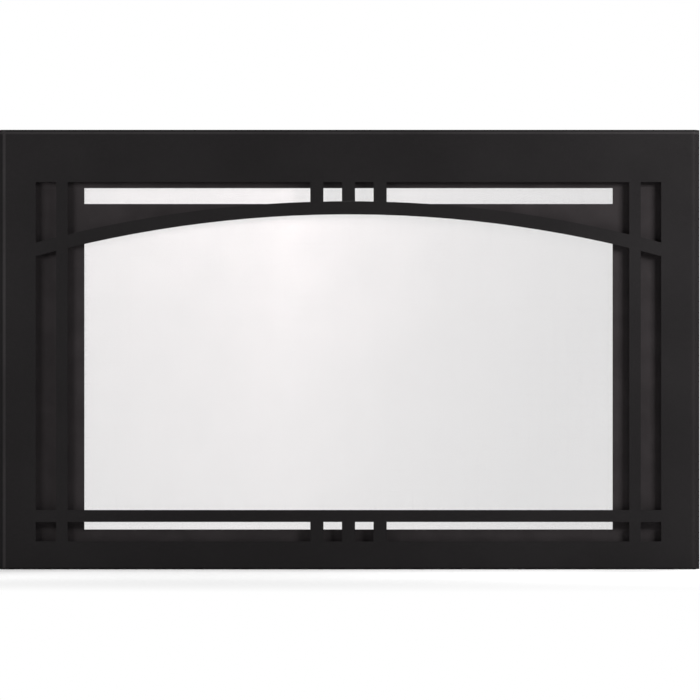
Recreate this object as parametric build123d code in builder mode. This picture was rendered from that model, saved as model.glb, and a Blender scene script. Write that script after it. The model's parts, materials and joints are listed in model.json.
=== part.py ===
from build123d import *

import math
import os

# Fireplace insert front: a steel pan with a grille of flat bars and an arch, a recessed reveal panel behind it, and a
# wire barrier screen that turn clips hold on the back. Hooked rails at both sides hang it on the insert.
# Millimetres, +Z up. The front faces -Y. The origin is at the bottom centre, halfway through the depth.

# Face panel: outline and folded edges
overall_width = 1016.0
overall_height = 635.0
overall_depth = 38.0
face_sheet = 3.0
fold_radius = 4.0
side_splay = 7.4

# Face panel: bands round its cut-out, and the flat bars and windows of the grille in it
side_band = 48.9
top_band = 75.5
bottom_band = 40.4
side_window = 29.6
stile_width = 16.5
bottom_window = 28.1
bottom_bar = 17.3
crown_gap = 27.7
arch_bar = 19.0
arch_radius = 1720.0
mullion_width = 19.0
mullion_pitch = 45.7
mullion_count = 3
window_corner = 1.5

# Locking screw holes in the bottom return
lock_hole_radius = 2.75
lock_hole_inset = 158.0

# Reveal panel
reveal_depth = 8.0
reveal_sheet = 2.0
reveal_side_strip = 23.9
reveal_top_strip = 8.7
reveal_bottom_strip = 17.1
slot_height = 22.8
arch_lap = 3.0
reveal_side_lap = 20.0
reveal_top_lap = 45.0
reveal_bottom_gap = 9.0
hem_depth = 12.0
hem_radius = 2.5

# Studs, spacers and nuts that hold the reveal panel
stud_radius = 2.5
stud_hole_clearance = 0.4
stud_end = 2.0
row_stud_count = 4
row_stud_inset = 60.0
top_stud_inset = 13.0
bottom_stud_inset = 10.0
side_stud_count = 3
side_stud_inset = 37.0
spacer_radius = 5.0
spacer_clearance = 0.25
nut_flats = 8.0
nut_height = 5.0
nut_bevel = 0.2
nut_bevel_angle = 60.0
nut_flange_radius = 5.9
nut_flange = 1.0
nut_flange_taper = 20.0
thread_clearance = 0.05

# Hook rails
rail_sheet = 2.5
rail_flange = 22.0
rail_length = 455.0
rail_fold_radius = 4.5
hook_width = 7.2
hook_reach = 11.0
hook_drop = 14.0
hook_inset = 75.0

# Barrier screen
screen_lap = 3.0
frame_bar = 14.0
frame_sheet = 2.0
frame_corner = 4.0
mesh_thickness = 0.6
mesh_margin = 1.0
strand_width = 2.4
net_columns = 26
net_rows = 18
rivet_radius = 2.0
rivet_head_radius = 3.5
rivet_head = 1.2
rivet_rim = 0.4
rivet_clearance = 0.05
mesh_hole_clearance = 0.3
row_rivet_count = 6
side_rivet_count = 2

# Rest tabs under the screen
tab_width = 25.0
tab_sheet = 2.0
tab_leg = 12.0
tab_shelf = 6.0
tab_fold_radius = 2.5

# Turn clips, their posts, screws and washers
post_radius = 4.5
post_setback = 9.0
post_bore_radius = 2.0
clip_lift = 0.1
clip_play = 0.15
clip_sheet = 2.0
clip_root_radius = 7.0
clip_tip_radius = 4.5
clip_reach = 14.5
clip_tail = 9.5
clip_tab = 6.5
clip_tab_width = 9.0
clip_fold_radius = 1.8
shoulder_radius = 2.5
pivot_clearance = 0.05
washer_sheet = 0.6
washer_radius = 4.2
washer_clearance = 0.15
screw_head_radius = 4.5
screw_head = 2.6
screw_chamfer = 0.5
socket_flats = 3.0
socket_depth = 1.5
shank_length = 3.5

# One overrun serves all cuts
overrun = 1.0

# Depths, from the front to the back
front_y = -overall_depth / 2
back_y = overall_depth / 2
face_back_y = front_y + face_sheet
reveal_front_y = face_back_y + reveal_depth
reveal_back_y = reveal_front_y + reveal_sheet
mesh_front_y = reveal_back_y + frame_sheet
mesh_back_y = mesh_front_y + mesh_thickness
screen_back_y = mesh_back_y + frame_sheet
post_end_y = screen_back_y + clip_lift
clip_front_y = post_end_y + clip_play
washer_front_y = clip_front_y + clip_sheet + clip_play
head_front_y = washer_front_y + washer_sheet

# Face panel places
cut_half_width = overall_width / 2 - side_splay - side_band
cut_bottom_z = bottom_band
cut_top_z = overall_height - top_band
cut_height = cut_top_z - cut_bottom_z
cut_centre_z = (cut_top_z + cut_bottom_z) / 2
stile_x = cut_half_width - side_window - stile_width / 2
arch_crown_z = cut_top_z - crown_gap - arch_bar
arch_centre_z = arch_crown_z - arch_radius
stile_inner_x = stile_x - stile_width / 2
side_window_x = stile_x + (stile_width + side_window) / 2
lock_hole_x = overall_width / 2 - lock_hole_inset

# Reveal panel places
reveal_half_opening = stile_inner_x - reveal_side_strip
slot_top_z = cut_top_z - reveal_top_strip
slot_bottom_z = slot_top_z - slot_height
opening_bottom_z = cut_bottom_z + reveal_bottom_strip
reveal_half_width = cut_half_width + reveal_side_lap
reveal_side_width = reveal_half_width - reveal_half_opening
reveal_side_x = reveal_half_width - reveal_side_width / 2
reveal_bottom_z = face_sheet + reveal_bottom_gap
reveal_top_z = cut_top_z + reveal_top_lap

# Stud places
row_stud_pitch = 2 * (reveal_half_width - row_stud_inset) / (row_stud_count - 1)
row_studs_z = (reveal_bottom_z + bottom_stud_inset, reveal_top_z - top_stud_inset)
rail_x = reveal_half_width - rail_flange / 2
rail_centre_z = overall_height / 2
rail_bottom_z = rail_centre_z - rail_length / 2
side_stud_pitch = (rail_length - 2 * side_stud_inset) / (side_stud_count - 1)
hook_pitch = rail_length - 2 * hook_inset

# Barrier screen places
screen_half_width = reveal_half_opening + screen_lap + frame_bar
screen_bottom_z = opening_bottom_z - screen_lap - frame_bar
screen_top_z = slot_top_z + screen_lap + frame_bar
screen_centre_z = (screen_top_z + screen_bottom_z) / 2
screen_width = 2 * screen_half_width
screen_height = screen_top_z - screen_bottom_z
net_pitch_x = (screen_width - 2 * frame_bar) / net_columns
net_pitch_z = (screen_height - 2 * frame_bar) / net_rows
row_rivet_pitch = (screen_width - frame_bar) / (row_rivet_count - 1)
side_rivet_pitch = (screen_height - frame_bar) / (side_rivet_count + 1)

# Turn clip places, midway between rivets, each with the direction in which its arm points over the screen
clip_places = {
    "top_left": (-row_rivet_pitch, screen_top_z + post_setback, (0, 0, -1)),
    "top_right": (row_rivet_pitch, screen_top_z + post_setback, (0, 0, -1)),
    "bottom_left": (-row_rivet_pitch, screen_bottom_z - post_setback, (0, 0, 1)),
    "bottom_right": (row_rivet_pitch, screen_bottom_z - post_setback, (0, 0, 1)),
    "side_left": (-screen_half_width - post_setback, screen_centre_z, (1, 0, 0)),
    "side_right": (screen_half_width + post_setback, screen_centre_z, (-1, 0, 0)),
}
pivots = [(x, z) for x, z, arm in clip_places.values()]


def at_depth(y):
    """Upright plane at depth y. Its sketches are drawn in X and Z, and it faces the front."""
    return Plane.XZ.offset(-y)


def spaced(centre, pitch, count):
    """Equally spaced values about a centre."""
    return [centre + pitch * (i - (count - 1) / 2) for i in range(count)]


# X and Z of the studs above and below the opening, of those under the hook rails, and of the screen's rivets
row_studs = [(x, z) for z in row_studs_z for x in spaced(0, row_stud_pitch, row_stud_count)]
rail_studs = [(x, z) for x in (-rail_x, rail_x) for z in spaced(rail_centre_z, side_stud_pitch, side_stud_count)]
rivet_rows_z = (screen_bottom_z + frame_bar / 2, screen_top_z - frame_bar / 2)
rivet_sides_x = (-screen_half_width + frame_bar / 2, screen_half_width - frame_bar / 2)
row_rivets = [(x, z) for z in rivet_rows_z for x in spaced(0, row_rivet_pitch, row_rivet_count)]
side_rivets = [(x, z) for x in rivet_sides_x for z in spaced(screen_centre_z, side_rivet_pitch, side_rivet_count)]
rivets = row_rivets + side_rivets


def rods(places, start_y, length, radius, bore_radius=0):
    """Equal round rods, or tubes, that stand on the plane at start_y and run towards the back."""
    with BuildPart() as group:
        with BuildSketch(at_depth(start_y + length)):
            with Locations(*places):
                Circle(radius)
                if bore_radius:
                    Circle(bore_radius, mode=Mode.SUBTRACT)
        extrude(amount=length)
    return group


def flat_bars(places_x, bottom_z, height, width):
    """Flat bars of the face's own thickness, each centred on its X, welded flush into the cut-out of the face."""
    with BuildPart() as bars:
        with BuildSketch(at_depth(face_back_y)):
            with Locations(*[(x, bottom_z) for x in places_x]):
                Rectangle(width, height, align=(Align.CENTER, Align.MIN))
        extrude(amount=face_sheet)
    return bars


def arch_length(x, width):
    """Length of the arch bar, a slice of a wide ring, centred on X."""
    with BuildPart() as bar:
        with BuildSketch(at_depth(face_back_y)):
            with Locations((x, cut_centre_z)):
                Rectangle(width, cut_height)
            with Locations((0, arch_centre_z)):
                Circle(arch_radius + arch_bar, mode=Mode.INTERSECT)
                Circle(arch_radius, mode=Mode.SUBTRACT)
        extrude(amount=face_sheet)
    return bar


def hemmed_strip(edge_z, inner_z):
    """Full-width strip of the reveal panel, with holes for its studs and a hem folded back along its outer edge."""
    height = inner_z - edge_z
    hem_z = edge_z + math.copysign(reveal_sheet / 2, height)
    with BuildPart() as strip:
        with BuildSketch(Plane.YZ.offset(-reveal_half_width)) as section:
            with Locations((reveal_front_y, edge_z + height / 2)):
                Rectangle(reveal_sheet, abs(height), align=(Align.MIN, Align.CENTER))
            with Locations((reveal_front_y, hem_z)):
                Rectangle(reveal_sheet + hem_depth, reveal_sheet, align=(Align.MIN, Align.CENTER))
            fillet(section.vertices().sort_by_distance((reveal_front_y, edge_z))[0], hem_radius)
        extrude(amount=2 * reveal_half_width)
        with Locations(at_depth(reveal_front_y)):
            with Locations(*row_studs):
                Hole(stud_radius + stud_hole_clearance, reveal_sheet + overrun)
    return strip


def reveal_side(centre_x):
    """Upright strip of the reveal panel, with holes for the studs that also hold its hook rail."""
    with BuildPart() as strip:
        with BuildSketch(at_depth(reveal_back_y)):
            with Locations((centre_x, (opening_bottom_z + slot_top_z) / 2)):
                Rectangle(reveal_side_width, slot_top_z - opening_bottom_z)
            with Locations(*rail_studs):
                Circle(stud_radius + stud_hole_clearance, mode=Mode.SUBTRACT)
        extrude(amount=reveal_sheet)
    return strip


def frame_ring(ring_back_y):
    """Flat ring of the barrier screen whose back face lies at ring_back_y."""
    with BuildPart() as ring:
        with BuildSketch(at_depth(ring_back_y)):
            with Locations((0, screen_centre_z)):
                RectangleRounded(screen_width, screen_height, frame_corner)
                Rectangle(screen_width - 2 * frame_bar, screen_height - 2 * frame_bar, mode=Mode.SUBTRACT)
        extrude(amount=frame_sheet)
    return ring


def turn_clip(x, z, arm):
    """Clip with a tapered arm that reaches over the screen and a folded thumb tab at its tail."""
    tab_x = -clip_tail + clip_sheet / 2
    with BuildPart() as clip:
        with BuildSketch(Plane(origin=(x, clip_front_y, z), x_dir=arm, z_dir=(0, 1, 0))):
            Circle(clip_root_radius)
            with Locations((clip_reach, 0)):
                Circle(clip_tip_radius)
            make_hull()
            Rectangle(clip_tail, clip_tab_width, align=(Align.MAX, Align.CENTER))
            Circle(shoulder_radius + pivot_clearance, mode=Mode.SUBTRACT)
        extrude(amount=clip_sheet)
        with BuildSketch(Plane(origin=(x, clip_front_y, z), x_dir=arm, z_dir=(0, 1, 0))):
            with Locations((tab_x, 0)):
                Rectangle(clip_sheet, clip_tab_width)
        extrude(amount=clip_sheet + clip_tab)
        heel = Vector(x, clip_front_y, z) - Vector(*arm) * clip_tail
        fillet(clip.edges().sort_by_distance(heel)[0], clip_fold_radius)
    return clip


# Face panel: a shallow pan, open at the back, with leaning sides and rounded folds
with BuildPart() as face_panel:
    with BuildSketch(at_depth(back_y)):
        with Locations((0, overall_height / 2)):
            Rectangle(overall_width, overall_height)
    with BuildSketch(at_depth(front_y)):
        with Locations((0, overall_height / 2)):
            Rectangle(overall_width - 2 * side_splay, overall_height)
    loft()
    fillet(face_panel.faces().sort_by(Axis.Y)[0].edges(), fold_radius)
    offset(amount=-face_sheet, openings=face_panel.faces().sort_by(Axis.Y)[-1])
    with BuildSketch(at_depth(face_back_y + overrun)) as cut_out:
        with Locations((0, cut_centre_z)):
            Rectangle(2 * cut_half_width, cut_height)
        fillet(cut_out.vertices(), window_corner)
    extrude(amount=face_sheet + 2 * overrun, mode=Mode.SUBTRACT)
    with Locations((-lock_hole_x, 0, face_sheet), (lock_hole_x, 0, face_sheet)):
        Hole(lock_hole_radius, face_sheet + overrun)

# Grille: the stiles run the full height of the cut-out, and all other bars are butted against them
stile_left = flat_bars([-stile_x], cut_bottom_z, cut_height, stile_width)
stile_right = flat_bars([stile_x], cut_bottom_z, cut_height, stile_width)
arch_span = arch_length(0, 2 * stile_inner_x)
arch_end_left = arch_length(-side_window_x, side_window)
arch_end_right = arch_length(side_window_x, side_window)
bottom_bar_z = cut_bottom_z + bottom_window
bottom_span = flat_bars([0], bottom_bar_z, bottom_bar, 2 * stile_inner_x)
bottom_end_left = flat_bars([-side_window_x], bottom_bar_z, bottom_bar, side_window)
bottom_end_right = flat_bars([side_window_x], bottom_bar_z, bottom_bar, side_window)
mullions_x = spaced(0, mullion_pitch, mullion_count)
lower_mullions = flat_bars(mullions_x, cut_bottom_z, bottom_window, mullion_width)
with BuildPart() as upper_mullions:
    add(flat_bars(mullions_x, arch_crown_z, cut_top_z - arch_crown_z, mullion_width).part)
    with BuildSketch(at_depth(face_back_y + overrun)):
        with Locations((0, arch_centre_z)):
            Circle(arch_radius + arch_bar)
    extrude(amount=face_sheet + 2 * overrun, mode=Mode.SUBTRACT)

# Reveal panel, five strips butted and welded flush: the sides stand between the hemmed ones at top and bottom, and
# the arched header hangs between the sides, under the slot
reveal_bottom = hemmed_strip(reveal_bottom_z, opening_bottom_z)
reveal_top = hemmed_strip(reveal_top_z, slot_top_z)
reveal_left = reveal_side(-reveal_side_x)
reveal_right = reveal_side(reveal_side_x)
with BuildPart() as reveal_header:
    with BuildSketch(at_depth(reveal_back_y)):
        with Locations((0, slot_bottom_z)):
            Rectangle(2 * reveal_half_opening, slot_bottom_z - opening_bottom_z, align=(Align.CENTER, Align.MAX))
        with Locations((0, arch_centre_z)):
            Circle(arch_radius + arch_lap, mode=Mode.SUBTRACT)
    extrude(amount=reveal_sheet)

# Studs welded on the back of the face, long enough for what their nuts hold
stud_length = reveal_depth + reveal_sheet + nut_height + stud_end
with BuildPart() as weld_studs:
    add(rods(row_studs, face_back_y, stud_length, stud_radius).part)
    add(rods(rail_studs, face_back_y, stud_length + rail_sheet, stud_radius).part)

panel_spacers = rods(
    row_studs + rail_studs, face_back_y, reveal_depth, spacer_radius, stud_radius + spacer_clearance
)

# Nut: a hexagon with bevelled corners on a round, sloping flange
with BuildPart() as flange_nut:
    with BuildSketch(at_depth(nut_height)):
        RegularPolygon(nut_flats / 2, 6, major_radius=False)
    extrude(amount=nut_height)
    with BuildSketch(at_depth(nut_height)):
        Circle(nut_flats / 2 - nut_bevel)
    extrude(amount=nut_height, taper=-nut_bevel_angle, mode=Mode.INTERSECT)
    with BuildSketch(at_depth(0)):
        Circle(nut_flange_radius)
    extrude(amount=-nut_flange, taper=nut_flange_taper)
    with Locations(at_depth(0)):
        Hole(stud_radius + thread_clearance, nut_height + overrun)

nut_places = [(x, reveal_back_y, z) for x, z in row_studs]
nut_places += [(x, reveal_back_y + rail_sheet, z) for x, z in rail_studs]
with BuildPart() as panel_nuts:
    with Locations(*nut_places):
        add(flange_nut.part)

# Hook rail: an angle whose web ends flush with the back of the face, with hooks that drop on the insert's studs
with BuildPart() as hook_rail_right:
    with BuildSketch(Plane.XY.offset(rail_bottom_z)) as rail_section:
        with Locations((reveal_half_width, reveal_back_y)):
            Rectangle(rail_flange, rail_sheet, align=(Align.MAX, Align.MIN))
            Rectangle(rail_sheet, back_y - reveal_back_y, align=(Align.MAX, Align.MIN))
        outer_fold = rail_section.vertices().sort_by_distance((reveal_half_width, reveal_back_y))[0]
        fillet(outer_fold, rail_fold_radius)
        inner_fold = (reveal_half_width - rail_sheet, reveal_back_y + rail_sheet)
        fillet(rail_section.vertices().sort_by_distance(inner_fold)[0], rail_fold_radius - rail_sheet)
    extrude(amount=rail_length)
    with BuildSketch(Plane.YZ.offset(reveal_half_width - rail_sheet - overrun)):
        for hook_z in spaced(rail_centre_z, hook_pitch, 2):
            with Locations((back_y - hook_reach, hook_z)):
                Rectangle(hook_reach + overrun, hook_width, align=(Align.MIN, Align.CENTER))
            with Locations((back_y - hook_reach, hook_z + hook_drop / 2)):
                SlotCenterToCenter(hook_drop, hook_width, rotation=90)
    extrude(amount=rail_sheet + 2 * overrun, mode=Mode.SUBTRACT)
    with Locations(at_depth(reveal_back_y)):
        with Locations(*rail_studs):
            Hole(stud_radius + stud_hole_clearance, rail_sheet + overrun)

with BuildPart() as hook_rail_left:
    mirror(hook_rail_right.part, about=Plane.YZ)

# Screen frames: two flat rings that clamp the mesh, the front one countersunk so that its rivets lie flush
with BuildPart() as screen_front_frame:
    add(frame_ring(mesh_front_y).part)
    with Locations(at_depth(reveal_back_y)):
        with Locations(*rivets):
            CounterSinkHole(
                rivet_radius + rivet_clearance, rivet_head_radius + rivet_clearance, frame_sheet + overrun, 90
            )

with BuildPart() as screen_back_frame:
    add(frame_ring(screen_back_y).part)
    with Locations(at_depth(mesh_back_y)):
        with Locations(*rivets):
            Hole(rivet_radius + rivet_clearance, frame_sheet + overrun)

# Barrier mesh: a net of square gaps inside the frames, with a plain border that they clamp
with BuildPart() as barrier_mesh:
    with BuildSketch(at_depth(mesh_back_y)):
        with Locations((0, screen_centre_z)):
            Rectangle(screen_width - 2 * mesh_margin, screen_height - 2 * mesh_margin)
            with GridLocations(net_pitch_x, net_pitch_z, net_columns, net_rows):
                Rectangle(net_pitch_x - strand_width, net_pitch_z - strand_width, mode=Mode.SUBTRACT)
        with Locations(*rivets):
            Circle(rivet_radius + mesh_hole_clearance, mode=Mode.SUBTRACT)
    extrude(amount=mesh_thickness)

# Rivet: flush conical head at the front, domed head behind, turned about its own axis
rivet_stack = screen_back_y - reveal_back_y
with BuildPart() as rivet:
    with BuildSketch():
        with BuildLine():
            Polyline(
                (0, rivet_stack + rivet_head),
                (0, 0),
                (rivet_head_radius, 0),
                (rivet_radius, rivet_head_radius - rivet_radius),
                (rivet_radius, rivet_stack),
                (rivet_head_radius, rivet_stack),
                (rivet_head_radius, rivet_stack + rivet_rim),
            )
            TangentArc(
                (0, rivet_stack + rivet_head), (rivet_head_radius, rivet_stack + rivet_rim), tangent=(1, 0)
            )
        make_face()
    revolve(axis=Axis.Y)

with BuildPart() as screen_rivets:
    with Locations(*[(x, reveal_back_y, z) for x, z in rivets]):
        add(rivet.part)

# Rest tabs: two angles on the back of the reveal panel, under the screen's lower edge
with BuildSketch(Plane.YZ) as tab_section:
    with Locations((reveal_back_y, screen_bottom_z)):
        Rectangle(tab_shelf, tab_sheet, align=(Align.MIN, Align.MAX))
        Rectangle(tab_sheet, tab_leg, align=(Align.MIN, Align.MAX))
    fillet(tab_section.vertices().sort_by_distance((reveal_back_y, screen_bottom_z))[0], tab_fold_radius)

with BuildPart() as rest_tabs:
    for tab_x in (-2 * row_rivet_pitch, 2 * row_rivet_pitch):
        with BuildSketch(Plane.YZ.offset(tab_x - tab_width / 2)):
            add(tab_section.sketch_local)
        extrude(amount=tab_width)

# Turn clips, and the posts, washers and shoulder screws on which they turn
clips = {f"turn_clip_{name}": turn_clip(*place) for name, place in clip_places.items()}
clip_posts = rods(pivots, reveal_back_y, post_end_y - reveal_back_y, post_radius, post_bore_radius)
clip_washers = rods(pivots, washer_front_y, washer_sheet, washer_radius, shoulder_radius + washer_clearance)

shank_radius = post_bore_radius - thread_clearance
with BuildPart() as clip_screw:
    with BuildSketch():
        with BuildLine():
            Polyline(
                (0, -shank_length),
                (shank_radius, -shank_length),
                (shank_radius, 0),
                (shoulder_radius, 0),
                (shoulder_radius, head_front_y - post_end_y),
                (screw_head_radius, head_front_y - post_end_y),
                (screw_head_radius, head_front_y - post_end_y + screw_head - screw_chamfer),
                (screw_head_radius - screw_chamfer, head_front_y - post_end_y + screw_head),
                (0, head_front_y - post_end_y + screw_head),
                close=True,
            )
        make_face()
    revolve(axis=Axis.Y)
    with BuildSketch(at_depth(head_front_y - post_end_y + screw_head + overrun)):
        RegularPolygon(socket_flats / 2, 6, major_radius=False)
    extrude(amount=socket_depth + overrun, mode=Mode.SUBTRACT)

with BuildPart() as clip_screws:
    with Locations(*[(x, post_end_y, z) for x, z in pivots]):
        add(clip_screw.part)

pieces = {
    "face_panel": face_panel,
    "stile_left": stile_left,
    "stile_right": stile_right,
    "arch_span": arch_span,
    "arch_end_left": arch_end_left,
    "arch_end_right": arch_end_right,
    "bottom_span": bottom_span,
    "bottom_end_left": bottom_end_left,
    "bottom_end_right": bottom_end_right,
    "upper_mullions": upper_mullions,
    "lower_mullions": lower_mullions,
    "reveal_top": reveal_top,
    "reveal_header": reveal_header,
    "reveal_left": reveal_left,
    "reveal_right": reveal_right,
    "reveal_bottom": reveal_bottom,
    "weld_studs": weld_studs,
    "panel_spacers": panel_spacers,
    "panel_nuts": panel_nuts,
    "hook_rail_left": hook_rail_left,
    "hook_rail_right": hook_rail_right,
    "screen_front_frame": screen_front_frame,
    "screen_back_frame": screen_back_frame,
    "barrier_mesh": barrier_mesh,
    "screen_rivets": screen_rivets,
    "rest_tabs": rest_tabs,
    "clip_posts": clip_posts,
    "clip_washers": clip_washers,
    "clip_screws": clip_screws,
    **clips,
}

os.makedirs("parts", exist_ok=True)
for name, piece in pieces.items():
    piece.part.label = name
    export_step(piece.part, f"parts/{name}.step")
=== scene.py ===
"""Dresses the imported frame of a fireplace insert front: coats, plated hardware, woven screen and studio."""

import json
import math

import bmesh
import bpy
from mathutils import Matrix, Vector


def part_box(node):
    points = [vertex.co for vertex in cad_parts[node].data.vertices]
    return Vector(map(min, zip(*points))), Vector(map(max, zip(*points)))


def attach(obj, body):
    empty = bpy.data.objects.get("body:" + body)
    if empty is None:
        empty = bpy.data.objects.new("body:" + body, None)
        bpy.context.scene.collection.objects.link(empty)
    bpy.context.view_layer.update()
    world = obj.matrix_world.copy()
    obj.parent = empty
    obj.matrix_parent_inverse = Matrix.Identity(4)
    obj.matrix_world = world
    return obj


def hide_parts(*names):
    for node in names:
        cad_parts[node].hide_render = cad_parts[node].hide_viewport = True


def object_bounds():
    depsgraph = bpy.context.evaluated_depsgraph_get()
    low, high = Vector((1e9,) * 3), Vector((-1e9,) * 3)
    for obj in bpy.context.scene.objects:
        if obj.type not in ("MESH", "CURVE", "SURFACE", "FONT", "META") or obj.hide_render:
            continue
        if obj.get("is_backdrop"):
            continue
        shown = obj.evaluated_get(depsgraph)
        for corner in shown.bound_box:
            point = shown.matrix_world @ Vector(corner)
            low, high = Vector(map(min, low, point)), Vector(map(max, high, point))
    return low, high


bl_info = {
    "name": "Fireplace insert front",
    "version": (1, 0, 0),
    "blender": (4, 5, 0),
    "location": "View3D > Sidebar > Hearth",
    "description": "Dresses the frame of a fireplace insert front and sets up its studio",
    "category": "Object",
}

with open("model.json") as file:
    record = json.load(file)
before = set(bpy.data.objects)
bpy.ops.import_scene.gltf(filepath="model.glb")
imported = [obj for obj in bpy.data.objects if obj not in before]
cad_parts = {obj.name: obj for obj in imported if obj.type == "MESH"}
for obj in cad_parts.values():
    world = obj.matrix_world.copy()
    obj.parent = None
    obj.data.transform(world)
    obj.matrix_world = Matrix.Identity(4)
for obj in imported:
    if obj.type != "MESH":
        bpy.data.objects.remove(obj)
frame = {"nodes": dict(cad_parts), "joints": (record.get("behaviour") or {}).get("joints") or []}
NODES = frame["nodes"]
PIVOTS = {joint["child"]: Vector(joint["pos_m"]) for joint in frame["joints"]}
MATTE_SPECULAR = 0.0


def nodes_starting(*words):
    """CAD nodes whose names start with one of the words."""
    return [NODES[name] for name in NODES if name.startswith(words)]


# Settings

class CoatSettings(bpy.types.PropertyGroup):
    """Colours and texture of the baked coats."""

    face: bpy.props.FloatVectorProperty(
        name="Face", description="Colour of the powder coat on the face and grille", subtype="COLOR",
        size=3, min=0, max=1, default=(0.0143, 0.0133, 0.0137),
    )
    reveal: bpy.props.FloatVectorProperty(
        name="Reveal", description="Colour of the reveal panel's paint", subtype="COLOR", size=3,
        min=0, max=1, default=(0.0265, 0.0235, 0.0244),
    )
    screen: bpy.props.FloatVectorProperty(
        name="Screen frame", description="Colour of the screen frame's paint", subtype="COLOR", size=3,
        min=0, max=1, default=(0.0240, 0.0220, 0.0225),
    )
    dust: bpy.props.FloatVectorProperty(
        name="Dust", description="Colour of the dust on what faces up", subtype="COLOR", size=3,
        min=0, max=1, default=(0.055, 0.052, 0.048),
    )
    side_fold: bpy.props.FloatProperty(
        name="Side fold", description="From the middle to the fold at each side of the face",
        subtype="DISTANCE", unit="LENGTH", min=0, default=0.4972,
    )
    top_fold: bpy.props.FloatProperty(
        name="Top fold", description="Height of the fold at the top of the face", subtype="DISTANCE",
        unit="LENGTH", min=0, default=0.6305,
    )
    # Fold paling: strength of the highlight painted along the folds
    fold_highlight: bpy.props.FloatProperty(
        name="Fold paling", description="How far handling has paled the coat on the folds",
        subtype="FACTOR", min=0, max=1, default=0.6,
    )
    grain: bpy.props.FloatProperty(
        name="Grain", description="Size of the grains of the powder coat", subtype="DISTANCE",
        unit="LENGTH", min=0.0001, default=0.0007,
    )
    grain_height: bpy.props.FloatProperty(
        name="Grain height", description="Height of the grains of the powder coat", subtype="DISTANCE",
        unit="LENGTH", min=0, default=0.00020,
    )


class ScreenSettings(bpy.types.PropertyGroup):
    """Wire and spacing of the woven barrier screen."""

    wire: bpy.props.FloatProperty(
        name="Wire", description="Diameter of the wire", subtype="DISTANCE", unit="LENGTH", min=0.00005,
        default=0.000124,
    )
    pitch_x: bpy.props.FloatProperty(
        name="Pitch across", description="Distance between upright wires", subtype="DISTANCE",
        unit="LENGTH", min=0.0004, default=0.000752,
    )
    pitch_z: bpy.props.FloatProperty(
        name="Pitch up", description="Distance between level wires", subtype="DISTANCE", unit="LENGTH",
        min=0.0004, default=0.000758,
    )
    steel: bpy.props.FloatVectorProperty(
        name="Steel", description="Colour of the wire", subtype="COLOR", size=3, min=0, max=1,
        default=(0.51, 0.44, 0.445),
    )
    # Colour of the wire where it is painted in shade
    soot: bpy.props.FloatVectorProperty(
        name="Soot", description="Colour of the wire where soot covers it", subtype="COLOR", size=3,
        min=0, max=1, default=(0.05, 0.03, 0.038),
    )


class HardwareSettings(bpy.types.PropertyGroup):
    """Colours of plating, black oxide and what is rubbed, and sizes of the studs and clips."""

    zinc: bpy.props.FloatVectorProperty(
        name="Zinc", description="Colour of the zinc plating", subtype="COLOR", size=3, min=0, max=1,
        default=(0.43, 0.44, 0.43),
    )
    passivated: bpy.props.FloatVectorProperty(
        name="Passivated zinc", description="Warm tint that clouds the plating", subtype="COLOR",
        size=3, min=0, max=1, default=(0.47, 0.42, 0.31),
    )
    blackened: bpy.props.FloatVectorProperty(
        name="Blackened steel", description="Colour of the screws' black oxide", subtype="COLOR",
        size=3, min=0, max=1, default=(0.030, 0.029, 0.030),
    )
    bare: bpy.props.FloatVectorProperty(
        name="Bare steel", description="Colour of steel rubbed bright", subtype="COLOR", size=3,
        min=0, max=1, default=(0.62, 0.62, 0.63),
    )
    rubbed: bpy.props.FloatVectorProperty(
        name="Rubbed paint", description="Colour of paint that is rubbed thin", subtype="COLOR",
        size=3, min=0, max=1, default=(0.11, 0.107, 0.105),
    )
    thread: bpy.props.FloatProperty(
        name="Thread pitch", description="Pitch of the studs' thread", subtype="DISTANCE",
        unit="LENGTH", min=0.0002, default=0.0008,
    )
    thread_length: bpy.props.FloatProperty(
        name="Thread length", description="Thread in sight at the end of a stud", subtype="DISTANCE",
        unit="LENGTH", min=0.0005, default=0.0024,
    )
    stud_radius: bpy.props.FloatProperty(
        name="Stud radius", description="Radius of the weld studs", subtype="DISTANCE", unit="LENGTH",
        min=0.001, default=0.0025,
    )
    washer: bpy.props.FloatProperty(
        name="Washer radius", description="Radius of the clips' washers", subtype="DISTANCE",
        unit="LENGTH", min=0.001, default=0.0042,
    )
    clip_reach: bpy.props.FloatProperty(
        name="Clip reach", description="From a clip's pivot to the middle of its tip",
        subtype="DISTANCE", unit="LENGTH", min=0.005, default=0.0145,
    )


class StageSettings(bpy.types.PropertyGroup):
    """Camera distance, light levels and floor."""

    distance: bpy.props.FloatProperty(
        name="Distance", description="From the camera to the face", subtype="DISTANCE", unit="LENGTH",
        min=1, default=16.0,
    )
    picture: bpy.props.FloatProperty(
        name="Picture width", description="Width of what the picture takes in, at the face",
        subtype="DISTANCE", unit="LENGTH", min=0.1, default=1.01094,
    )
    aim_x: bpy.props.FloatProperty(
        name="Aim across", description="How far right of the middle the picture's centre lies",
        subtype="DISTANCE", unit="LENGTH", default=0.0022,
    )
    aim_z: bpy.props.FloatProperty(
        name="Aim up", description="How high on the face the picture's centre lies",
        subtype="DISTANCE", unit="LENGTH", default=0.3169,
    )
    ambient: bpy.props.FloatProperty(
        name="Ambient", description="Strength of the even light from all round", min=0, default=0.10,
    )
    key: bpy.props.FloatProperty(
        name="Right light", description="Power of the soft light at the right", subtype="POWER",
        unit="POWER", min=0, default=31,
    )
    fill: bpy.props.FloatProperty(
        name="Left light", description="Power of the soft light at the left", subtype="POWER",
        unit="POWER", min=0, default=8.5,
    )
    back: bpy.props.FloatProperty(
        name="Back light", description="Power of the soft light behind", subtype="POWER", unit="POWER",
        min=0, default=75,
    )
    floor: bpy.props.FloatVectorProperty(
        name="Floor", description="Colour of the floor", subtype="COLOR", size=3, min=0, max=1,
        default=(0.80, 0.80, 0.80),
    )


# Shader expressions

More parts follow.
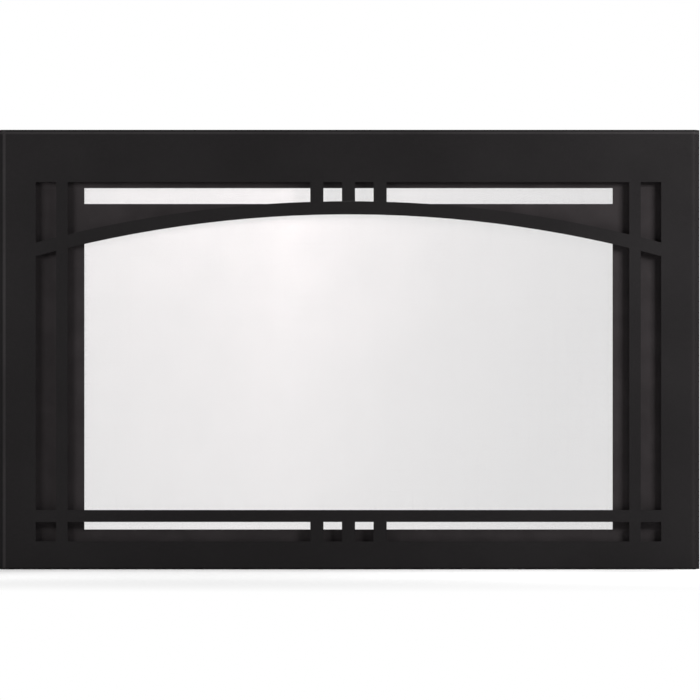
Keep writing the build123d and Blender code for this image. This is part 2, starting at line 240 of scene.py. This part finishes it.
class Value:
    """A node's socket with Python's arithmetic. Each operation adds its Math node."""

    def __init__(self, finish, socket):
        self.finish = finish
        self.socket = socket

    def math(self, operation, *others):
        return self.finish.node("ShaderNodeMath", {"operation": operation}, self, *others)

    def __add__(self, other):
        return self.math("ADD", other)

    __radd__ = __add__

    def __sub__(self, other):
        return self.math("SUBTRACT", other)

    def __rsub__(self, other):
        return self.finish.node("ShaderNodeMath", {"operation": "SUBTRACT"}, other, self)

    def __mul__(self, other):
        return self.math("MULTIPLY", other)

    __rmul__ = __mul__

    def __pow__(self, other):
        return self.math("POWER", other)

    def __abs__(self):
        return self.math("ABSOLUTE")

    def least(self, other):
        return self.math("MINIMUM", other)

    def most(self, other):
        return self.math("MAXIMUM", other)

    def band(self, start, end, soft):
        """1 from start to end, with flanks as wide as soft."""
        return self.between(start - soft, start) * self.between(end + soft, end)

    def between(self, low, high):
        """0 before low, 1 past high, and a smooth rise between them. High may be the lower of the two."""
        return self.finish.node(
            "ShaderNodeMapRange", {"interpolation_type": "SMOOTHSTEP"}, self, low, high, 0.0, 1.0
        )


class Recipe:
    """Writes nodes into one tree."""

    def __init__(self, tree):
        self.tree = tree

    def node(self, kind, settings, *inputs, output=0, **named):
        """Adds a node. Its settings come first, then the values or links of its sockets."""
        made = self.tree.nodes.new(kind)
        for key, setting in settings.items():
            setattr(made, key, setting)
        for key, given in [*enumerate(inputs), *named.items()]:
            if given is not None:
                self.plug(made.inputs[key], given)
        return Value(self, made.outputs[output])

    def plug(self, socket, given):
        """Links a value to a socket, or sets the socket to a number or colour."""
        if isinstance(given, Value):
            self.tree.links.new(given.socket, socket)
        elif socket.type == "RGBA":
            socket.default_value = (*tuple(given)[:3], 1.0)
        else:
            socket.default_value = given

    def seen_rays(self):
        """1 for camera, glossy and transmission rays, and 0 for the rays that light the object."""
        camera = self.node("ShaderNodeLightPath", {}, output="Is Camera Ray")
        glossy = self.node("ShaderNodeLightPath", {}, output="Is Glossy Ray")
        through = self.node("ShaderNodeLightPath", {}, output="Is Transmission Ray")
        return camera.most(glossy).most(through)


class Finish(Recipe):
    """One material: its shader, its coordinates and the patterns that the finishes share."""

    def __init__(self, name, roughness=0.5, metallic=0.0, specular=0.5):
        self.material = bpy.data.materials.new(name)
        self.material.use_nodes = True
        super().__init__(self.material.node_tree)
        self.shader = self.tree.nodes["Principled BSDF"]
        self.shader.inputs["Roughness"].default_value = roughness
        self.shader.inputs["Metallic"].default_value = metallic
        self.shader.inputs["Specular IOR Level"].default_value = specular
        self.place = self.node("ShaderNodeTexCoord", {}, output="Object")
        self.x = self.node("ShaderNodeSeparateXYZ", {}, self.place, output="X")
        self.y = self.node("ShaderNodeSeparateXYZ", {}, self.place, output="Y")
        self.z = self.node("ShaderNodeSeparateXYZ", {}, self.place, output="Z")

    def noise(self, size, detail=2.0, stretch=None, seed=0.0):
        """Cloudy pattern whose blots measure about the given size in metres."""
        where = self.place
        if stretch or seed:
            shift = (seed, seed, seed)
            where = self.node("ShaderNodeMapping", {}, where, shift, None, stretch or (1, 1, 1))
        return self.node("ShaderNodeTexNoise", {}, Vector=where, Scale=1 / size, Detail=detail)

    def blend(self, amount, low, high):
        """Colour between low and high."""
        made = self.node("ShaderNodeMix", {"data_type": "RGBA"}, amount, output=2)
        self.plug(made.socket.node.inputs[6], low)
        self.plug(made.socket.node.inputs[7], high)
        return made

    def bump(self, height, distance):
        """Relief from a height pattern. Distance is what a height of 1 measures in metres."""
        self.set("Normal", self.node("ShaderNodeBump", {}, Strength=1.0, Distance=distance, Height=height))

    def distance_to(self, point):
        """Distance in X and Z from a point."""
        across = self.x - point.x
        up = self.z - point.z
        return (across * across + up * up) ** 0.5

    def facing_up(self):
        """1 where the surface faces straight up, 0 from a slope of about 45 degrees on."""
        normal = self.node("ShaderNodeNewGeometry", {}, output="Normal")
        return self.node("ShaderNodeSeparateXYZ", {}, normal, output="Z").between(0.7, 1.0)

    def fade_to_white(self, amount):
        """What the camera, glossy and transmission rays see turns to plain white by the amount."""
        glow = self.node("ShaderNodeEmission", {})
        lit = Value(self, self.shader.outputs[0])
        mixed = self.node("ShaderNodeMixShader", {}, self.seen_rays() * amount, lit, glow)
        self.plug(self.tree.nodes["Material Output"].inputs["Surface"], mixed)

    def set(self, socket, given):
        self.plug(self.shader.inputs[socket], given)

    def on(self, *objects):
        """Gives the objects this material alone."""
        for piece in objects:
            piece.data.materials.clear()
            piece.data.materials.append(self.material)


# Finishes

def toned(colour, factor, lift=0.0):
    """A colour made lighter or darker."""
    return [channel * factor + lift for channel in colour]


def powder_coat(name, coat):
    """Textured powder coat: pebbles with painted glints, faint clouds, dust on what faces up, and highlights
    painted along the folds.
    """
    cloud_size = 0.16
    dust_size = 0.03
    peel_size = coat.grain * 6
    half_side_fold = 0.0015
    half_top_fold = 0.001
    fold_blur = 0.001
    highlight_share_at_right = 0.15

    finish = Finish(name, roughness=0.5, specular=MATTE_SPECULAR)
    clouds = finish.noise(cloud_size, 3.0)
    pebbles = finish.noise(coat.grain, 2.0)
    orange_peel = finish.noise(peel_size, 1.0, seed=2.0)
    lift = clouds.between(0.35, 0.7)
    shade = finish.blend(lift, toned(coat.face, 0.93), toned(coat.face, 1.07))
    # Painted glints: lighter specks on the pebbles, standing in for the sparkle of the coat
    painted_glint = pebbles.between(0.56, 0.72)
    shade = finish.blend(painted_glint * 0.6, shade, toned(coat.face, 1.5, 0.004))

    # Highlights painted along the folds: full on the left fold, only a little on the right one
    highlight_share = finish.x.between(0.1, -0.1) * (1 - highlight_share_at_right) + highlight_share_at_right
    from_middle = abs(finish.x)
    side_folds = from_middle.band(coat.side_fold - half_side_fold, coat.side_fold + half_side_fold, fold_blur)
    top_fold = finish.z.band(coat.top_fold - half_top_fold, coat.top_fold + half_top_fold, fold_blur)
    folds = (side_folds * highlight_share).most(top_fold) * (0.55 + clouds.between(0.3, 0.6) * 0.45)
    shade = finish.blend(folds * coat.fold_highlight, shade, toned(coat.face, 2.6))

    dust = finish.facing_up() * finish.noise(dust_size, 4.0).between(0.35, 0.65)
    finish.set("Base Color", finish.blend(dust * 0.25, shade, coat.dust))
    finish.set("Roughness", 0.46 + lift * 0.06 + pebbles * 0.10)
    finish.bump(pebbles * 0.8 + orange_peel * 0.6, coat.grain_height)
    return finish


def baked_paint(name, colour):
    """Thin heat-resistant paint: smoother than the powder coat, mottled, with faint upright drag marks."""
    mottle_size = 0.035
    drag_size = 0.004
    peel_size = 0.0022

    finish = Finish(name, roughness=0.7, specular=MATTE_SPECULAR)
    mottle = finish.noise(mottle_size, 4.0)
    drag = finish.noise(drag_size, 2.0, stretch=(1, 1, 0.12))
    peel = finish.noise(peel_size, 1.5)
    shade = finish.blend(mottle.between(0.3, 0.75), toned(colour, 0.90), toned(colour, 1.10))
    finish.shade = finish.blend(drag.between(0.6, 0.8) * 0.25, shade, toned(colour, 1.35))
    finish.sheen = 0.64 + mottle * 0.12 + drag * 0.06
    finish.height = peel + drag * 0.3
    return finish


def finish_paint(finish, rubbed, worn_colour, height=0.0):
    """Ends a painted finish: where it is rubbed, the paint thins to a burnished grey."""
    relief = 0.00005
    finish.set("Base Color", finish.blend(rubbed, finish.shade, worn_colour))
    finish.set("Roughness", finish.sheen - rubbed * 0.2)
    finish.bump(finish.height + height, relief)


def zinc_plate(name, hardware, tint=0.35, pivot=None):
    """Bright zinc, clouded by passivation, and worn in rings round a pivot where there is one."""
    cloud_size = 0.006
    mark_size = 0.0006
    mark_colour = (0.28, 0.28, 0.27)
    worn_width = 0.0022
    ring_radians_per_metre = 12000
    relief = 0.0003

    finish = Finish(name, roughness=0.35, metallic=1.0)
    cloud = finish.noise(cloud_size, 3.0)
    marks = finish.noise(mark_size, 3.0, stretch=(1, 0.3, 1))
    shade = finish.blend(cloud.between(0.4, 0.7) * tint, hardware.zinc, hardware.passivated)
    shade = finish.blend(marks.between(0.62, 0.8) * 0.5, shade, mark_colour)
    sheen = 0.28 + cloud * 0.16 + marks * 0.08
    height = marks * 0.06
    if pivot is not None:
        radius = finish.distance_to(pivot)
        rings = (radius * ring_radians_per_metre + cloud * 6).math("SINE") * 0.5 + 0.5
        worn = radius.between(hardware.washer + worn_width, hardware.washer) * (0.5 + rings * 0.5)
        shade = finish.blend(worn * 0.6, shade, hardware.bare)
        sheen = sheen - worn * 0.1
        height = height + rings * worn * 0.25
    finish.set("Base Color", shade)
    finish.set("Roughness", sheen)
    finish.bump(height, relief)
    return finish


# Modelling helpers

def new_piece(name, bm, body="front"):
    """Turns a bmesh into an object that rides on a body."""
    bmesh.ops.recalc_face_normals(bm, faces=bm.faces)
    mesh = bpy.data.meshes.new(name)
    bm.to_mesh(mesh)
    bm.free()
    piece = bpy.data.objects.new(name, mesh)
    bpy.context.collection.objects.link(piece)
    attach(piece, body)
    return piece


def straight_wires(name, first, along, step, count, diameter):
    """Parallel wires: one hexagonal rod, repeated by an array."""
    bm = bmesh.new()
    turn = along.to_track_quat("Z", "Y").to_matrix().to_4x4()
    disc = bmesh.ops.create_circle(bm, cap_ends=True, segments=6, radius=diameter / 2)
    bmesh.ops.transform(bm, matrix=Matrix.Translation(first) @ turn, verts=disc["verts"])
    far = bmesh.ops.extrude_face_region(bm, geom=bm.faces[:])
    far_verts = [made for made in far["geom"] if isinstance(made, bmesh.types.BMVert)]
    bmesh.ops.translate(bm, vec=along, verts=far_verts)
    piece = new_piece(name, bm)
    array = piece.modifiers.new("Wires", "ARRAY")
    array.use_relative_offset = False
    array.use_constant_offset = True
    array.constant_offset_displace = step
    array.count = count
    return piece


def back_ends(node):
    """Centre of the back end of each loose solid of a CAD node whose solids are turned about Y."""
    bm = bmesh.new()
    bm.from_mesh(node.data)
    bmesh.ops.remove_doubles(bm, verts=bm.verts, dist=1e-6)
    waiting = set(bm.verts)
    ends = []
    while waiting:
        reached = [waiting.pop()]
        corners = []
        while reached:
            vert = reached.pop()
            corners.append(vert.co.copy())
            near = {edge.other_vert(vert) for edge in vert.link_edges} & waiting
            waiting -= near
            reached.extend(near)
        low = Vector([min(corner[axis] for corner in corners) for axis in range(3)])
        high = Vector([max(corner[axis] for corner in corners) for axis in range(3)])
        end = (low + high) / 2
        end.y = high.y
        ends.append(end)
    bm.free()
    return sorted(ends, key=tuple)


def thread_ridges(name, ends, radius, length, pitch):
    """Helical ridges on the ends of rods along Y: a triangle spun round each rod while it climbs."""
    steps_per_turn = 14
    turns = length / pitch - 1
    root = radius - 0.02 * pitch
    crest = radius + 0.32 * pitch
    outline = ((root, 0), (crest, pitch / 2), (root, pitch))

    bm = bmesh.new()
    for end in ends:
        start = end - Vector((0, length, 0))
        corners = [bm.verts.new(start + Vector((out, along, 0))) for out, along in outline]
        profile = bm.faces.new(corners)
        bmesh.ops.spin(
            bm, geom=[profile, *profile.edges, *profile.verts], cent=start, axis=(0, 1, 0),
            dvec=(0, pitch / steps_per_turn, 0), angle=2 * math.pi * turns,
            steps=int(steps_per_turn * turns),
        )
    return new_piece(name, bm)


# Operators

class HEARTH_OT_face(bpy.types.Operator):
    """Gives the face panel and its grille their black powder coat"""

    bl_idname = "hearth.face"
    bl_label = "Coat the face panel"

    def execute(self, context):
        coated = nodes_starting("face_", "stile_", "arch_", "bottom_", "upper_", "lower_")
        powder_coat("black_powder_coat", context.scene.hearth_coat).on(*coated)
        return {"FINISHED"}


class HEARTH_OT_reveal(bpy.types.Operator):
    """Paints the reveal panel, hook rails and rest tabs"""

    bl_idname = "hearth.reveal"
    bl_label = "Paint the reveal panel"

    def execute(self, context):
        colour = context.scene.hearth_coat.reveal
        rubbed_colour = context.scene.hearth_hardware.rubbed
        self.paint_panel(colour, rubbed_colour)
        self.paint_rails(colour, rubbed_colour)
        return {"FINISHED"}

    def paint_panel(self, colour, rubbed_colour):
        """The welds at both ends of the side strips are ground flush and still show faintly."""
        seam_half = 0.0012
        seam_core = 0.0003
        paint = baked_paint("charcoal_paint", colour)
        low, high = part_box("reveal_left")
        half_opening = -high.x
        seams = 0.0
        for level in (low.z, high.z):
            seams = abs(paint.z - level).between(seam_half, seam_core) + seams
        ground = seams * abs(paint.x).between(half_opening - 0.001, half_opening)
        finish_paint(paint, ground * 0.03, rubbed_colour, ground * 2)
        paint.on(*nodes_starting("reveal_"))

    def paint_rails(self, colour, rubbed_colour):
        """The insert's studs rub the rear of the hooks."""
        patch_size = 0.004
        hooks = baked_paint("hook_paint", colour)
        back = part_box("hook_rail_left")[1].y
        patches = hooks.noise(patch_size, 4.0).between(0.45, 0.62)
        rubbed = hooks.y.between(back - 0.010, back - 0.001) * patches
        finish_paint(hooks, rubbed * 0.4, rubbed_colour)
        hooks.on(*nodes_starting("hook_", "rest_"))


class HEARTH_OT_screen(bpy.types.Operator):
    """Weaves the barrier screen and paints its frames"""

    bl_idname = "hearth.screen"
    bl_label = "Weave the screen"

    def execute(self, context):
        settings = context.scene.hearth_screen
        wires = self.weave(settings)
        self.shade_wires(settings, wires)
        self.paint_frames(context.scene.hearth_coat.screen, context.scene.hearth_hardware)
        return {"FINISHED"}

    def weave(self, settings):
        """Upright wires in front and level wires behind them, which touch at the mesh's middle."""
        low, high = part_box("barrier_mesh")
        centre = (low + high) / 2
        across = high.x - low.x
        up = high.z - low.z
        columns = int(across / settings.pitch_x)
        rows = int(up / settings.pitch_z)
        first_x = centre.x - settings.pitch_x * (columns - 1) / 2
        first_z = centre.z - settings.pitch_z * (rows - 1) / 2
        uprights = straight_wires(
            "screen_upright_wires", Vector((first_x, centre.y - settings.wire / 2, low.z)),
            Vector((0, 0, up)), (settings.pitch_x, 0, 0), columns, settings.wire,
        )
        levels = straight_wires(
            "screen_level_wires", Vector((low.x, centre.y + settings.wire / 2, first_z)),
            Vector((across, 0, 0)), (0, 0, settings.pitch_z), rows, settings.wire,
        )
        for wires in (uprights, levels):
            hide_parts("barrier_mesh")
        return uprights, levels

    def shade_wires(self, settings, wires):
        """Painted shade on the wires: lightest high up and a little left of the middle, darker round that,
        most at the right.
        """
        bright_x = -0.09
        bright_z = 0.5
        patina_size = 0.05
        drift_size = 0.25

        steel = Finish("drawn_wire", roughness=0.42, metallic=1.0)
        patina = steel.noise(patina_size, 3.0)
        drift = steel.noise(drift_size, 2.0) * 0.2 - 0.1
        aside = steel.x - bright_x
        below = (bright_z - steel.z).most(0.0)
        painted_shade = abs(aside) * 1.4 + below * 0.8 + aside * 0.5 + drift

        # Painted shade is a little deeper in the slots above the arch and much lighter in the lowest ones
        slots = steel.z.between(0.49, 0.56) * 0.12 - steel.z.between(0.095, 0.065) * 0.5
        painted_shade = (painted_shade + slots + 0.05).most(0.0).least(1.0)
        bright = steel.blend(patina.between(0.3, 0.7), settings.steel, toned(settings.steel, 0.9))
        steel.set("Base Color", steel.blend(painted_shade, bright, settings.soot))
        steel.set("Metallic", 1 - painted_shade * 0.9)
        steel.set("Roughness", 0.38 + patina * 0.1 + painted_shade * 0.3)
        steel.on(*wires)

    def paint_frames(self, colour, hardware):
        """The tip of each clip has rubbed an arc into the paint."""
        arc_width = 0.0035
        arc_blur = 0.001
        patch_size = 0.003
        paint = baked_paint("screen_frame_paint", colour)
        arc_start = hardware.clip_reach
        swept = 0.0
        for pivot in PIVOTS.values():
            swept = paint.distance_to(pivot).band(arc_start, arc_start + arc_width, arc_blur) + swept
        rubbed = swept * paint.noise(patch_size, 4.0).between(0.35, 0.6)
        finish_paint(paint, rubbed * 0.55, hardware.rubbed)
        paint.on(NODES["screen_front_frame"], NODES["screen_back_frame"])


class HEARTH_OT_hardware(bpy.types.Operator):
    """Plates the studs, spacers, nuts, posts, washers and rivets, and blackens the screws"""

    bl_idname = "hearth.hardware"
    bl_label = "Plate the hardware"

    def execute(self, context):
        hardware = context.scene.hearth_hardware
        plate = zinc_plate("zinc_plate", hardware)
        plate.on(*nodes_starting("panel_spacers", "panel_nuts", "clip_posts", "clip_washers"))
        studs = NODES["weld_studs"]
        ridges = thread_ridges(
            "stud_threads", back_ends(studs), hardware.stud_radius, hardware.thread_length,
            hardware.thread,
        )
        zinc_plate("stud_zinc", hardware, tint=0.2).on(studs, ridges)
        zinc_plate("rivet_steel", hardware, tint=0.1).on(NODES["screen_rivets"])
        self.blacken_screws(hardware)
        return {"FINISHED"}

    def blacken_screws(self, hardware):
        bloom_size = 0.002
        bloom_colour = (0.09, 0.088, 0.085)
        oxide = Finish("black_oxide", roughness=0.38, metallic=0.6)
        bloom = oxide.noise(bloom_size, 3.0)
        shade = oxide.blend(bloom.between(0.5, 0.8), hardware.blackened, bloom_colour)
        oxide.set("Base Color", shade)
        oxide.set("Roughness", 0.30 + bloom * 0.2)
        oxide.on(NODES["clip_screws"])


class HEARTH_OT_clips(bpy.types.Operator):
    """Plates the turn clips, each worn in rings round its own screw"""

    bl_idname = "hearth.clips"
    bl_label = "Plate the turn clips"

    def execute(self, context):
        hardware = context.scene.hearth_hardware
        for body, pivot in PIVOTS.items():
            plate = zinc_plate(f"{body}_plate", hardware, tint=0.8, pivot=pivot)
            plate.on(NODES[f"turn_{body}"])
        return {"FINISHED"}


class HEARTH_OT_stage(bpy.types.Operator):
    """Sets up the camera, the soft lights, the even surroundings and the floor"""

    bl_idname = "hearth.stage"
    bl_label = "Set the stage"

    def execute(self, context):
        stage = context.scene.hearth_stage
        face_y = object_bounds()[0].y
        self.make_camera(context, stage, face_y)
        self.make_lights(context, stage)
        self.make_world(context, stage)
        self.make_floor(context, stage)
        return {"FINISHED"}

    def make_camera(self, context, stage, face_y):
        """Straight in front of the face, and so far off that the picture shows next to no perspective."""
        camera = bpy.data.objects.new("camera", bpy.data.cameras.new("camera"))
        camera.data.sensor_width = 36
        camera.data.lens = camera.data.sensor_width * stage.distance / stage.picture
        camera.data.clip_end = 200
        camera.location = (stage.aim_x, face_y - stage.distance, stage.aim_z)
        camera.rotation_euler = (math.pi / 2, 0, 0)
        context.collection.objects.link(camera)
        context.scene.camera = camera

    def make_lights(self, context, stage):
        """Three square area lights, each given by name, power, size and place."""
        target = Vector((0, 0, 0.3))
        for name, power, size, place in (
            ("right_light", stage.key, 0.45, Vector((1.25, -0.80, 0.95))),
            ("left_light", stage.fill, 0.35, Vector((-1.05, -0.70, 0.70))),
            ("back_light", stage.back, 1.6, Vector((0.8, 2.6, 1.6))),
        ):
            light = bpy.data.objects.new(name, bpy.data.lights.new(name, "AREA"))
            light.data.energy = power
            light.data.size = size
            light.location = place
            light.rotation_euler = (target - place).to_track_quat("-Z", "Y").to_euler()
            light.visible_camera = False
            context.collection.objects.link(light)

    def make_world(self, context, stage):
        """Plain white to the camera and in reflections, and a weak even light on the object."""
        world = context.scene.world or bpy.data.worlds.new("surroundings")
        context.scene.world = world
        world.use_nodes = True
        surroundings = Recipe(world.node_tree)
        background = world.node_tree.nodes["Background"]
        surroundings.plug(background.inputs["Color"], (1, 1, 1))
        strength = surroundings.seen_rays() * (1 - stage.ambient) + stage.ambient
        surroundings.plug(background.inputs["Strength"], strength)
        context.scene.view_settings.view_transform = "Standard"

    def make_floor(self, context, stage):
        """Pale paper that keeps the object's shadow and fades to white away from it."""
        half_width = 2.5
        fibre_size = 0.01
        fade_start = 0.5
        fade_end = 1.6

        bm = bmesh.new()
        bmesh.ops.create_grid(bm, x_segments=1, y_segments=1, size=half_width)
        mesh = bpy.data.meshes.new("floor")
        bm.to_mesh(mesh)
        bm.free()
        floor = bpy.data.objects.new("floor", mesh)
        context.collection.objects.link(floor)
        floor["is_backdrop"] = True
        paper = Finish("floor_paper", roughness=0.9, specular=0.1)
        fibre = paper.noise(fibre_size, 3.0)
        paper.set("Base Color", paper.blend(fibre, stage.floor, toned(stage.floor, 0.985)))
        away = (paper.x * paper.x + paper.y * paper.y) ** 0.5
        paper.fade_to_white(away.between(fade_start, fade_end))
        paper.on(floor)


# Panel and registration

class HEARTH_PT_front(bpy.types.Panel):
    """Lists the pieces of the front and the stage"""

    bl_label = "Insert front"
    bl_idname = "HEARTH_PT_front"
    bl_space_type = "VIEW_3D"
    bl_region_type = "UI"
    bl_category = "Hearth"

    def draw(self, context):
        for operator in OPERATORS:
            self.layout.operator(operator.bl_idname)


SETTINGS = {
    "hearth_coat": CoatSettings,
    "hearth_screen": ScreenSettings,
    "hearth_hardware": HardwareSettings,
    "hearth_stage": StageSettings,
}
OPERATORS = (
    HEARTH_OT_face,
    HEARTH_OT_reveal,
    HEARTH_OT_screen,
    HEARTH_OT_hardware,
    HEARTH_OT_clips,
    HEARTH_OT_stage,
)


def register():
    for kind in (*SETTINGS.values(), *OPERATORS, HEARTH_PT_front):
        bpy.utils.register_class(kind)
    for name, kind in SETTINGS.items():
        setattr(bpy.types.Scene, name, bpy.props.PointerProperty(type=kind))


def unregister():
    for name in SETTINGS:
        delattr(bpy.types.Scene, name)
    for kind in (HEARTH_PT_front, *reversed(OPERATORS), *reversed(SETTINGS.values())):
        bpy.utils.unregister_class(kind)


def main():
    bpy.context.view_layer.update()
    register()
    bpy.ops.hearth.face()
    bpy.ops.hearth.reveal()
    bpy.ops.hearth.screen()
    bpy.ops.hearth.hardware()
    bpy.ops.hearth.clips()
    bpy.ops.hearth.stage()


if __name__ == "__main__":
    main()
